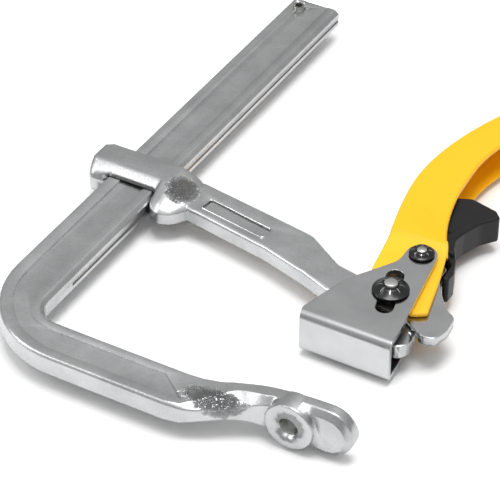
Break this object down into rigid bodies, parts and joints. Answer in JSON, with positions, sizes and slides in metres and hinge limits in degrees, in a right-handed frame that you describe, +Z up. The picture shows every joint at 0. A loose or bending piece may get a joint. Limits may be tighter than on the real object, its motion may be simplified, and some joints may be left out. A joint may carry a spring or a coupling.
{
  "type": "bar clamp",
  "caption": "Sliding-arm bar clamp with a one-piece bar and fixed jaw, a cast arm, a sheet metal shoe, and a ratcheting channel handle with a release trigger.",
  "frame": {"origin": "middle of the footprint on the resting plane, the clamp lying on its side", "axes": "+Y along the bar away from the fixed jaw, +X from the bar towards the jaw tips, +Z up"},
  "size_m": [0.1916, 0.2924, 0.0276],
  "materials": {
    "forged_steel": "satin plated forging",
    "zinc_sheet": "bright zinc plated sheet",
    "pin_steel": "plain plated steel",
    "black_cap": "black oxide spring steel, glossy",
    "black_plastic": "moulded, semi gloss",
    "yellow_paint": "powder coat, glossy"
  },
  "bodies": {
    "bar": {"fixed_jaw_bar": "forged_steel", "bar_stop_pin": "pin_steel"},
    "arm": {"sliding_arm": "forged_steel", "pivot_pin": "pin_steel", "pivot_cap": "black_cap", "pivot_spacer_upper": "pin_steel", "pivot_spacer_lower": "pin_steel"},
    "shoe": {"shoe_channel": "zinc_sheet", "link_pin": "pin_steel", "link_cap": "black_cap"},
    "handle": {"handle_channel": "yellow_paint", "link_spacer": "pin_steel", "hook_pin": "pin_steel", "hook_spring": "pin_steel", "trigger_pin": "pin_steel", "trigger_spring": "pin_steel"},
    "hook": {"hook_lever": "zinc_sheet", "pawl_nose": "pin_steel", "pawl_rivet": "pin_steel"},
    "trigger": {"trigger_cover": "black_plastic", "trigger_core": "pin_steel"}
  },
  "joints": [
    {"name": "arm_slide", "type": "slide", "parent": "bar", "child": "arm", "axis": [0, 1, 0], "range_m": [-0.038, 0.14]},
    {"name": "shoe_slide", "type": "slide", "parent": "arm", "child": "shoe", "axis": [0.2588, -0.9659, 0], "range_m": [0, 0.0046]},
    {"name": "handle_swing", "type": "hinge", "parent": "shoe", "child": "handle", "pos_m": [0.06687, -0.01535, 0.0124], "axis": [0, 0, 1], "range_deg": [0, 28]},
    {"name": "hook_swing", "type": "hinge", "parent": "handle", "child": "hook", "pos_m": [0.07587, -0.01535, 0.0124], "axis": [0, 0, 1], "range_deg": [-28.5, 0.5]},
    {"name": "trigger_pull", "type": "hinge", "parent": "handle", "child": "trigger", "pos_m": [0.06437, 0.00325, 0.0124], "axis": [0, 0, 1], "range_deg": [0, 7], "stiffness_Nm_per_rad": 0.4, "springref_deg": -11.46, "deforming": ["trigger_spring"]}
  ],
  "couplings": [
    {"joint": "shoe_slide", "follows": "handle_swing", "m_per_rad": 0.00912},
    {"joint": "hook_swing", "follows": "handle_swing", "ratio": -1}
  ]
}
